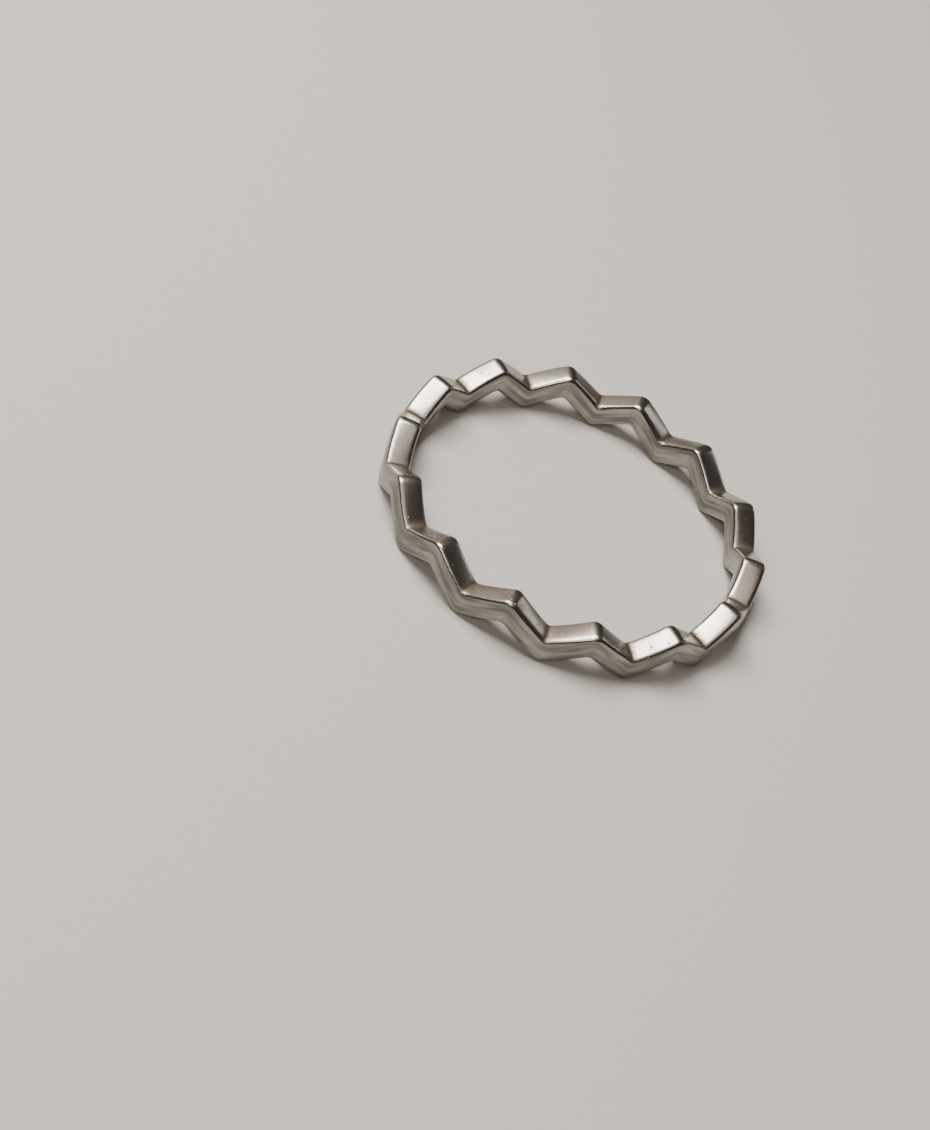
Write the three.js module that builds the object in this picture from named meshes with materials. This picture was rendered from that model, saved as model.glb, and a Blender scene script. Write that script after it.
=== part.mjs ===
// Stackable zigzag finger ring: one closed band of square wire that climbs and falls along the
// finger, so that rings of the same kind nest into each other. Millimetres, +Z up along the finger,
// origin at the middle of the ring on the surface that it lies on.
import * as THREE from "three";

// Driving dimensions.
const fingerDiameter = 17.3; // clear hole, a US size 7
const wireDepth = 1.35; // of the wire, from the finger outwards
const wireHeight = 1.5; // of the wire, along the finger
const zigzagCount = 14; // peaks round the ring
const zigzagRise = 1.25; // from the sharp corner of a valley to that of a peak
const edgeRadius = 0.17; // of the wire's four long edges
const faceCrown = 0.05; // how far the wire's inner and outer faces swell in their middle
const outerBendSoftness = 0.27; // half the length over which the outside of a bend is rounded
const innerBendSoftness = 0.15; // the same for the inside of a bend
const tipWear = 0.025; // polished off each tip, which leaves a small flat to stand on

const legCount = 2 * zigzagCount;
const legAngle = (2 * Math.PI) / legCount;
const innerRadius = fingerDiameter / 2;
const outerRadius = innerRadius + wireDepth;
const legLength = legAngle * (innerRadius + outerRadius) / 2; // round the middle of the wire
const slope = zigzagRise / legLength;
const bandHeight = wireHeight + zigzagRise - outerBendSoftness * slope - 2 * tipWear;

// Where the band is cut along one leg, as lengths from the bend that the leg starts at.
const legStations = [
  0,
  outerBendSoftness / 2,
  outerBendSoftness,
  legLength / 2,
  legLength - outerBendSoftness,
  legLength - outerBendSoftness / 2,
];

// The wire's section in a plane through the ring's axis: x is the distance from that axis, and
// y runs along it from the middle of the wire.
function wireSection() {
  const left = innerRadius + faceCrown;
  const right = outerRadius - faceCrown;
  const top = wireHeight / 2;
  const r = edgeRadius;
  const swell = 2 * faceCrown; // the control point of a curve that rises by faceCrown
  const section = new THREE.Shape();
  section.moveTo(left + r, -top);
  section.lineTo(right - r, -top);
  section.absarc(right - r, -top + r, r, -Math.PI / 2, 0);
  section.quadraticCurveTo(right + swell, 0, right, top - r);
  section.absarc(right - r, top - r, r, 0, Math.PI / 2);
  section.absarc(left + r, top - r, r, Math.PI / 2, Math.PI);
  section.quadraticCurveTo(left - swell, 0, left, -top + r);
  section.absarc(left + r, -top + r, r, Math.PI, 1.5 * Math.PI);
  return section.getPoints(2);
}

// How far a bend is cut short by its rounding, at a length from the bend.
function rounding(fromBend, softness) {
  const inside = Math.max(0, softness - Math.abs(fromBend));
  return (slope * inside ** 2) / (2 * softness);
}

// The height of the zigzag's upper face at a length along a leg that climbs from a valley to a
// peak, when the sharp zigzag would run from 0 to zigzagRise.
function upperWave(along) {
  const valley = rounding(along, innerBendSoftness);
  const peak = rounding(legLength - along, outerBendSoftness);
  return slope * along + valley - peak;
}

// The lower face is the upper one turned over.
function lowerWave(along) {
  return zigzagRise - upperWave(legLength - along);
}

// The band is a spun section whose stations are then lifted into the zigzag.
function zigzagBand() {
  const section = wireSection();
  const stationCount = legCount * legStations.length;
  const middle = (bandHeight - zigzagRise) / 2;
  const band = new THREE.LatheGeometry(section, stationCount);
  const position = band.getAttribute("position");
  for (let station = 0; station <= stationCount; station++) {
    const leg = Math.floor(station / legStations.length);
    const length = legStations[station % legStations.length];
    const climbing = leg % 2 === 0;
    const along = climbing ? length : legLength - length;
    const angle = (leg + length / legLength) * legAngle;
    section.forEach((point, i) => {
      const share = point.y / wireHeight + 0.5; // 0 on the lower face, 1 on the upper one
      const lift = THREE.MathUtils.lerp(lowerWave(along), upperWave(along), share);
      const x = point.x * Math.cos(angle);
      const y = point.x * Math.sin(angle);
      const z = THREE.MathUtils.clamp(middle + point.y + lift, 0, bandHeight);
      position.setXYZ(station * section.length + i, x, y, z);
    });
  }
  band.deleteAttribute("normal");
  return band;
}

const silver = new THREE.MeshStandardMaterial({ color: 0xe4e0da, roughness: 0.2, metalness: 1 });

const ring = new THREE.Group();
const band = new THREE.Mesh(zigzagBand(), silver);
band.name = "zigzag_band";
ring.add(band);

export default ring;
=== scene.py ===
import math

import bmesh
import bpy
from mathutils import Matrix, Quaternion, Vector, noise


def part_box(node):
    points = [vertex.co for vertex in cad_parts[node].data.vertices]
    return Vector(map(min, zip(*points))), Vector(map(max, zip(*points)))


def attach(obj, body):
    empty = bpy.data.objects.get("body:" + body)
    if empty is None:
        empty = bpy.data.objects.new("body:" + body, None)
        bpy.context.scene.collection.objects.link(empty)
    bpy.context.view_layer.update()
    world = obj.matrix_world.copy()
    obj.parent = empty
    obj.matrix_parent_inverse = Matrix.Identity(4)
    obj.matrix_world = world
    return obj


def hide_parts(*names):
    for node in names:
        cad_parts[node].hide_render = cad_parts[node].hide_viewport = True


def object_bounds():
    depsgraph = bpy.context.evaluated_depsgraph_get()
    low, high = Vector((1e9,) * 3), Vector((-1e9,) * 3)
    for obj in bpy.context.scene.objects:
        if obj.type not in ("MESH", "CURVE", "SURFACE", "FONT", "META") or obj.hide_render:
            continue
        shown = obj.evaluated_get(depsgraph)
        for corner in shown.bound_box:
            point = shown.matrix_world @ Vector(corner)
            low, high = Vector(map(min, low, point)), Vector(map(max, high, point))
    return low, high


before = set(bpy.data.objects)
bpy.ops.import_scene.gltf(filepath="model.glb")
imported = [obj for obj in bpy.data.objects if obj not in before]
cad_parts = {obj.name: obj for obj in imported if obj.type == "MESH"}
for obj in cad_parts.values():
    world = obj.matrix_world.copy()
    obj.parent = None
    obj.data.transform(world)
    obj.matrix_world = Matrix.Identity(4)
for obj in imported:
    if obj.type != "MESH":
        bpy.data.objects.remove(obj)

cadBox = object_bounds()
mm = 0.001


def toLinear(hexColour):
    channels = [int(hexColour[i:i + 2], 16) / 255 for i in (1, 3, 5)]
    return [c / 12.92 if c <= 0.04045 else ((c + 0.055) / 1.055) ** 2.4 for c in channels] + [1.0]


def addNode(tree, kind, settings=None, links=None):
    node = tree.nodes.new(kind)
    for name, value in (settings or {}).items():
        if isinstance(name, int) or name in node.inputs:
            node.inputs[name].default_value = value
        else:
            setattr(node, name, value)
    for name, source in (links or {}).items():
        tree.links.new(source, node.inputs[name])
    return node


# the band is square wire that zigzags along the finger
band = {
    "node": "zigzag_band",
    "zigzags": 14,
    "wireDepth": 1.35 * mm,  # from the finger outwards
    "wireHeight": 1.5 * mm,  # along the finger
    "rise": 1.25 * mm,  # from a sharp valley to a sharp peak
    "cutsPerLeg": 6,  # keeps the inside and outside round
    "cutsPerFace": 4,  # across each of the wire's four faces
    "outerBend": 0.27 * mm,  # half the rounded length on the outside of a bend
    "innerBend": 0.13 * mm,  # the same on the inside, where the polisher hardly reaches
    "longEdge": 0.17 * mm,  # rounding along the wire
    "crown": 0.05 * mm,  # how far each face swells in its middle
    "waver": 0.01 * mm,  # how far hand polishing leaves a face from true
    "waverLength": 1.3 * mm,
    "creaseReach": 0.32 * mm,  # how far tarnish creeps out of a bend's inside
}
bandLow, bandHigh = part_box(band["node"])
outerRadius = bandHigh.x
middleRadius = outerRadius - band["wireDepth"] / 2
legAngle = math.pi / band["zigzags"]
legLength = legAngle * middleRadius
slope = math.atan(band["rise"] / legLength)
sharpHeight = band["wireHeight"] + band["rise"]
sharpBottom = (bandLow.z + bandHigh.z - sharpHeight) / 2


def wave(angle):
    # 0 in a valley, 1 on a peak; the first valley is on +X
    return 1 - abs((angle / legAngle) % 2 - 1)


def wireMiddle(co):
    return sharpBottom + band["wireHeight"] / 2 + band["rise"] * wave(math.atan2(co.y, co.x))


def placeInWire(co):
    # -1 to 1 from the inner face to the outer one, and from the lower face to the upper one
    outwards = (math.hypot(co.x, co.y) - middleRadius) / (band["wireDepth"] / 2)
    upwards = (co.z - wireMiddle(co)) / (band["wireHeight"] / 2)
    return outwards, upwards


def bendEdges(bm, onPeak, onTop):
    # the edges that run from the finger outwards along one fold of the upper or lower side
    found = []
    for edge in bm.edges:
        if abs(edge.verts[0].co.z - edge.verts[1].co.z) > 0.01 * mm:
            continue
        atBend = all(abs(wave(math.atan2(v.co.y, v.co.x)) - onPeak) < 0.001 for v in edge.verts)
        side = [placeInWire(v.co)[1] for v in edge.verts]
        if atBend and all(abs(s - (1 if onTop else -1)) < 0.01 for s in side):
            found.append(edge)
    return found


def makeBandMesh():
    bm = bmesh.new()
    cuts = band["cutsPerFace"]
    bmesh.ops.create_grid(bm, x_segments=cuts, y_segments=cuts, size=0.5)
    inside = [v for v in bm.verts if not v.is_boundary]
    bmesh.ops.delete(bm, geom=inside, context="VERTS")
    bmesh.ops.scale(bm, vec=(band["wireDepth"], band["wireHeight"], 1), verts=bm.verts)
    bmesh.ops.rotate(bm, cent=(0, 0, 0), matrix=Matrix.Rotation(math.pi / 2, 3, "X"), verts=bm.verts)
    lift = sharpBottom + band["wireHeight"] / 2
    bmesh.ops.translate(bm, vec=(middleRadius, 0, lift), verts=bm.verts)
    steps = 2 * band["zigzags"] * band["cutsPerLeg"]
    bmesh.ops.spin(bm, geom=bm.verts[:] + bm.edges[:], cent=(0, 0, 0), axis=(0, 0, 1),
                   angle=2 * math.pi, steps=steps, use_merge=True)
    bmesh.ops.remove_doubles(bm, verts=bm.verts, dist=0.001 * mm)
    bmesh.ops.recalc_face_normals(bm, faces=bm.faces)

    for v in bm.verts:
        v.co.z += band["rise"] * wave(math.atan2(v.co.y, v.co.x))
    bm.normal_update()
    outside = bendEdges(bm, 1, True) + bendEdges(bm, 0, False)
    bmesh.ops.bevel(bm, geom=outside, offset=band["outerBend"] / math.cos(slope), segments=4,
                    profile=0.5, affect="EDGES", material=-1)
    bm.normal_update()
    creases = bendEdges(bm, 0, True) + bendEdges(bm, 1, False)
    bmesh.ops.bevel(bm, geom=creases, offset=band["innerBend"] / math.cos(slope), segments=3,
                    profile=0.5, affect="EDGES", material=-1)
    bm.normal_update()
    longEdges = [e for e in bm.edges if e.calc_face_angle(0) > math.radians(60)]
    bmesh.ops.bevel(bm, geom=longEdges, offset=band["longEdge"], segments=3,
                    profile=0.5, affect="EDGES", material=-1)
    return bm


def handFinish(bm):
    # swells each face a little, leaves it slightly wavy, and fits the band to its height
    bm.normal_update()
    for v in bm.verts:
        outwards, upwards = placeInWire(v.co)
        turn = math.atan2(v.co.y, v.co.x)
        radial = Vector((math.cos(turn), math.sin(turn), 0))
        v.co -= radial * band["crown"] * outwards * upwards ** 2
        v.co.z -= band["crown"] * upwards * outwards ** 2
        v.co -= v.normal * band["waver"] * (0.5 + 0.5 * noise.noise(v.co / band["waverLength"]))
    low = min(v.co.z for v in bm.verts)
    high = max(v.co.z for v in bm.verts)
    for v in bm.verts:
        v.co.z = bandLow.z + (v.co.z - low) * (bandHigh.z - bandLow.z) / (high - low)


def markWear(bm):
    # where the material is satin, tarnished or rubbed bright, and a map that runs along the wire
    bm.normal_update()
    satin = bm.verts.layers.float.new("slopedSide")
    crease = bm.verts.layers.float.new("crease")
    edge = bm.verts.layers.float.new("longEdge")
    for v in bm.verts:
        outwards, upwards = placeInWire(v.co)
        climbed = wave(math.atan2(v.co.y, v.co.x))
        fromFold = (climbed if upwards > 0 else 1 - climbed) * legLength
        v[satin] = min(max((abs(v.normal.z) - 0.3) / 0.4, 0), 1)
        nearSide = min(max(abs(upwards) * 2 - 1, 0), 1)
        v[crease] = math.exp(-(fromFold / band["creaseReach"]) ** 2) * nearSide
        v[edge] = min(max((abs(outwards * upwards) - 0.72) / 0.15, 0), 1)
    alongWire = bm.loops.layers.uv.new("alongWire")
    for face in bm.faces:
        middle = face.calc_center_median()
        faceTurn = math.atan2(middle.y, middle.x)
        faceOut, faceUp = placeInWire(middle)
        faceRound = math.atan2(faceUp, faceOut)
        for loop in face.loops:
            outwards, upwards = placeInWire(loop.vert.co)
            turn = math.atan2(loop.vert.co.y, loop.vert.co.x)
            turn += 2 * math.pi * round((faceTurn - turn) / (2 * math.pi))
            roundWire = math.atan2(upwards, outwards)
            roundWire += 2 * math.pi * round((faceRound - roundWire) / (2 * math.pi))
            loop[alongWire].uv = (turn * middleRadius / mm, roundWire * band["wireHeight"] / 2 / mm)


bm = makeBandMesh()
print("band: bevelled cage with", len(bm.verts), "points")
handFinish(bm)
markWear(bm)
bandMesh = bpy.data.meshes.new("zigzagSilverBand")
bm.to_mesh(bandMesh)
bm.free()
bandMesh.shade_smooth()
bandPiece = bpy.data.objects.new("zigzagSilverBand", bandMesh)
bpy.context.scene.collection.objects.link(bandPiece)
smooth = bandPiece.modifiers.new("smooth", "SUBSURF")
smooth.levels = smooth.render_levels = 1
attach(bandPiece, "root")
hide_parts(band["node"])
print("band: in place of the plain node")


silver = {
    "clean": "#b7b2ab",  # a worn piece is greyer than fresh silver
    "haze": "#8a837b",  # thin warm film that sulphur leaves
    "paintedWallReflection": "#5a5852",  # painted reflection: darker grey bands on the sheer inner and outer walls, standing in for reflected dark streaks
    "paintedReflectionShare": 0.85,  # where the painted reflection is darkest
    "paintedReflectionLeast": 0.3,
    "reflectionBandLength": 2.4,  # mm, of the bands that the film lies in
    "bandWidth": 0.35,  # mm, of the bands of painted reflection
    "tarnish": "#58452d",  # brown gold where a cloth doesn't reach
    "rubbed": "#d6d0c8",  # corners that touch skin and cloth
    "hazeSize": 1.6,  # mm
    "hazeShare": 0.75,  # of the haze where it is thickest
    "speckleSize": 0.12,  # mm, ragged border of the tarnish and a faint grain
    "wallRoughness": 0.1,  # mirror polish on the sheer walls
    "satinRoughness": 0.2,  # the sloped sides
    "lineWidth": 0.05,  # mm; real polishing lines are ten times finer
    "lineLength": 2.0,  # mm
    "pitSpacing": 0.35,  # mm, casting pits that polishing left
    "tarnishShare": 0.9,  # of the tarnish where it is thickest
    "lineDulls": 0.12,  # what lines, haze and tarnish add to the roughness
    "hazeDulls": 0.08,
    "tarnishDulls": 0.3,
    "lineRelief": 0.06,  # bump strengths
    "speckleRelief": 0.18,
    "pitRelief": 0.8,
    "grainDepth": 0.02,  # mm, of lines and speckle
    "pitDepth": 0.03,  # mm
}


def makeSterlingSilver():
    # sterling silver, cast, filed and polished by hand: mirror faces with a soft wander in them,
    # a duller finish on the sloped sides, a painted reflection of dark streaks in bands on the sheer
    # walls, fine lines along the wire, brown gold in the folds, and corners rubbed bright
    material = bpy.data.materials.new("sterlingSilverHandPolished")
    material.use_nodes = True
    tree = material.node_tree
    tree.nodes.clear()
    place = addNode(tree, "ShaderNodeTexCoord").outputs["Object"]
    along = addNode(tree, "ShaderNodeUVMap", {"uv_map": "alongWire"}).outputs[0]
    side = addNode(tree, "ShaderNodeAttribute", {"attribute_name": "slopedSide"}).outputs["Fac"]
    crease = addNode(tree, "ShaderNodeAttribute", {"attribute_name": "crease"}).outputs["Fac"]
    edge = addNode(tree, "ShaderNodeAttribute", {"attribute_name": "longEdge"}).outputs["Fac"]

    haze = addNode(tree, "ShaderNodeTexNoise", {
        "Scale": 1 / (silver["hazeSize"] * mm), "Detail": 5.0, "Roughness": 0.6}, {"Vector": place})
    hazeAmount = addNode(tree, "ShaderNodeMapRange", {
        "From Min": 0.4, "From Max": 0.7, "To Min": 0.0, "To Max": silver["hazeShare"]}, {
        "Value": haze.outputs["Fac"]})
    speckle = addNode(tree, "ShaderNodeTexNoise", {
        "Scale": 1 / (silver["speckleSize"] * mm), "Detail": 3.0, "Roughness": 0.7}, {"Vector": place})
    tarnishEdge = addNode(tree, "ShaderNodeMath", {"operation": "MULTIPLY_ADD", 1: 0.9, 2: -0.28}, {
        0: speckle.outputs["Fac"]})
    tarnishSum = addNode(tree, "ShaderNodeMath", {"operation": "ADD"}, {
        0: crease, 1: tarnishEdge.outputs[0]})
    tarnishAmount = addNode(tree, "ShaderNodeMapRange", {
        "From Min": 0.55, "From Max": 1.25, "To Min": 0.0, "To Max": silver["tarnishShare"]}, {
        "Value": tarnishSum.outputs[0]})
    hazed = addNode(tree, "ShaderNodeMix", {"data_type": "RGBA", 6: toLinear(silver["clean"]),
                                            7: toLinear(silver["haze"])}, {0: hazeAmount.outputs[0]})
    # painted reflection: darker grey bands along the wire on the sheer walls, in place of reflected
    # dark streaks
    reflectionBandMap = addNode(tree, "ShaderNodeMapping", {
        "Scale": (1 / silver["reflectionBandLength"], 1 / silver["bandWidth"], 1)}, {"Vector": along})
    paintedReflectionBands = addNode(tree, "ShaderNodeTexNoise", {"Scale": 1.0, "Detail": 2.0, "Roughness": 0.5}, {
        "Vector": reflectionBandMap.outputs[0]})
    reflectionBandAmount = addNode(tree, "ShaderNodeMapRange", {
        "From Min": 0.38, "From Max": 0.62, "To Min": silver["paintedReflectionLeast"],
        "To Max": silver["paintedReflectionShare"]}, {
        "Value": paintedReflectionBands.outputs["Fac"]})
    sheer = addNode(tree, "ShaderNodeMath", {"operation": "SUBTRACT", 0: 1.0}, {1: side})
    paintedReflectionAmount = addNode(tree, "ShaderNodeMath", {"operation": "MULTIPLY"}, {
        0: reflectionBandAmount.outputs[0], 1: sheer.outputs[0]})
    withPaintedReflection = addNode(tree, "ShaderNodeMix", {"data_type": "RGBA", 7: toLinear(silver["paintedWallReflection"])}, {
        0: paintedReflectionAmount.outputs[0], 6: hazed.outputs[2]})
    tarnished = addNode(tree, "ShaderNodeMix", {"data_type": "RGBA", 7: toLinear(silver["tarnish"])}, {
        0: tarnishAmount.outputs[0], 6: withPaintedReflection.outputs[2]})
    rubbed = addNode(tree, "ShaderNodeMix", {"data_type": "RGBA", 7: toLinear(silver["rubbed"])}, {
        0: edge, 6: tarnished.outputs[2]})

    stretched = addNode(tree, "ShaderNodeMapping", {
        "Scale": (1 / silver["lineLength"], 1 / silver["lineWidth"], 1)}, {"Vector": along})
    lines = addNode(tree, "ShaderNodeTexNoise", {"Scale": 1.0, "Detail": 3.0, "Roughness": 0.65}, {
        "Vector": stretched.outputs[0]})
    pits = addNode(tree, "ShaderNodeTexVoronoi", {"Scale": 1 / (silver["pitSpacing"] * mm)}, {
        "Vector": place})
    pitHollow = addNode(tree, "ShaderNodeMapRange", {
        "From Min": 0.0, "From Max": 0.16, "To Min": -1.0, "To Max": 0.0}, {
        "Value": pits.outputs["Distance"]})
    pitKeep = addNode(tree, "ShaderNodeMapRange", {
        "From Min": 0.5, "From Max": 0.6, "To Min": 0.0, "To Max": 1.0}, {"Value": haze.outputs["Fac"]})
    pitted = addNode(tree, "ShaderNodeMath", {"operation": "MULTIPLY"}, {
        0: pitHollow.outputs[0], 1: pitKeep.outputs[0]})

    baseRoughness = addNode(tree, "ShaderNodeMapRange", {
        "From Min": 0.0, "From Max": 1.0, "To Min": silver["wallRoughness"],
        "To Max": silver["satinRoughness"]}, {"Value": side})
    lineRoughness = addNode(tree, "ShaderNodeMath", {
        "operation": "MULTIPLY_ADD", 1: silver["lineDulls"]}, {
        0: lines.outputs["Fac"], 2: baseRoughness.outputs[0]})
    hazeRoughness = addNode(tree, "ShaderNodeMath", {
        "operation": "MULTIPLY_ADD", 1: silver["hazeDulls"]}, {
        0: hazeAmount.outputs[0], 2: lineRoughness.outputs[0]})
    roughness = addNode(tree, "ShaderNodeMath", {
        "operation": "MULTIPLY_ADD", 1: silver["tarnishDulls"]}, {
        0: tarnishAmount.outputs[0], 2: hazeRoughness.outputs[0]})

    lineBump = addNode(tree, "ShaderNodeBump", {
        "Strength": silver["lineRelief"], "Distance": silver["grainDepth"] * mm}, {
        "Height": lines.outputs["Fac"]})
    speckleBump = addNode(tree, "ShaderNodeBump", {
        "Strength": silver["speckleRelief"], "Distance": silver["grainDepth"] * mm}, {
        "Height": speckle.outputs["Fac"], "Normal": lineBump.outputs[0]})
    pitBump = addNode(tree, "ShaderNodeBump", {
        "Strength": silver["pitRelief"], "Distance": silver["pitDepth"] * mm}, {
        "Height": pitted.outputs[0], "Normal": speckleBump.outputs[0]})

    shader = addNode(tree, "ShaderNodeBsdfPrincipled", {"Metallic": 1.0}, {
        "Base Color": rubbed.outputs[2], "Roughness": roughness.outputs[0],
        "Normal": pitBump.outputs[0]})
    addNode(tree, "ShaderNodeOutputMaterial", links={"Surface": shader.outputs[0]})
    return material


bandMesh.materials.append(makeSterlingSilver())
print("silver: done")


studio = {
    "floor": "#bab7b3",  # pale grey paper
    "floorRadius": 1.2,  # m
    "room": "#5c5552",  # dim, so that silver has something dark to mirror
    "roomStrength": 0.4,
}

floorBm = bmesh.new()
bmesh.ops.create_circle(floorBm, cap_ends=True, radius=studio["floorRadius"], segments=96)
floorMesh = bpy.data.meshes.new("floor")
floorBm.to_mesh(floorMesh)
floorBm.free()
floor = bpy.data.objects.new("floor", floorMesh)
bpy.context.scene.collection.objects.link(floor)
floorMaterial = bpy.data.materials.new("mattPaper")
floorMaterial.use_nodes = True
floorShader = floorMaterial.node_tree.nodes["Principled BSDF"]
floorShader.inputs["Base Color"].default_value = toLinear(studio["floor"])
floorShader.inputs["Roughness"].default_value = 0.9
floorShader.inputs["Specular IOR Level"].default_value = 0.2
floorMesh.materials.append(floorMaterial)

world = bpy.data.worlds.new("studioRoom")
bpy.context.scene.world = world
world.use_nodes = True
background = world.node_tree.nodes["Background"]
background.inputs["Color"].default_value = toLinear(studio["room"])
background.inputs["Strength"].default_value = studio["roomStrength"]

ringCentre = (cadBox[0] + cadBox[1]) / 2


def addSoftbox(name, bearing, height, distance, width, length, watts, colour):
    # bearing is counted from +X towards +Y, height above the floor, both in degrees; sizes in metres
    a, e = math.radians(bearing), math.radians(height)
    towards = Vector((math.cos(a) * math.cos(e), math.sin(a) * math.cos(e), math.sin(e)))
    lamp = bpy.data.lights.new(name, "AREA")
    lamp.shape = "RECTANGLE"
    lamp.size, lamp.size_y = width, length
    lamp.energy = watts
    lamp.color = toLinear(colour)[:3]
    holder = bpy.data.objects.new(name, lamp)
    bpy.context.scene.collection.objects.link(holder)
    holder.location = ringCentre + towards * distance
    holder.rotation_euler = towards.to_track_quat("Z", "Y").to_euler()


# bearing, height, distance, width, length, watts, colour
softboxes = {
    "keySoftbox": (175, 64, 0.30, 0.20, 0.20, 2.0, "#fffaf4"),
    "backPanel": (132, 20, 0.35, 0.20, 0.18, 0.11, "#d8c2b4"),
    "topPanel": (-40, 78, 0.35, 0.10, 0.10, 0.05, "#e6d6ca"),
    "frontStrip": (-98, 42, 0.40, 0.22, 0.07, 0.45, "#fff6ee"),
    "sideStrip": (54, 22, 0.35, 0.02, 0.12, 0.05, "#e8e4e0"),
}
for softboxName, softboxSetting in softboxes.items():
    addSoftbox(softboxName, *softboxSetting)
print("studio: done")


camera = {
    "azimuth": 5.702,
    "elevation": 41.362,
    "roll": 26.679,
    "distance": 89.92 * mm,
    "aim": Vector((-2.906, -7.802, 0)) * mm,  # from the middle of the ring
    "lens": 60.83,
}

lens = bpy.data.cameras.new("camera")
lens.lens = camera["lens"]
lens.clip_start, lens.clip_end = 1 * mm, 10
cameraObject = bpy.data.objects.new("camera", lens)
bpy.context.scene.collection.objects.link(cameraObject)
azimuth, elevation = math.radians(camera["azimuth"]), math.radians(camera["elevation"])
back = Vector((math.sin(azimuth) * math.cos(elevation), -math.cos(azimuth) * math.cos(elevation),
               math.sin(elevation)))
cameraObject.location = ringCentre + camera["aim"] + back * camera["distance"]
cameraObject.rotation_mode = "QUATERNION"
level = (-back).to_track_quat("-Z", "Y")
cameraObject.rotation_quaternion = level @ Quaternion((0, 0, 1), math.radians(camera["roll"]))
bpy.context.scene.camera = cameraObject
print("camera: done")
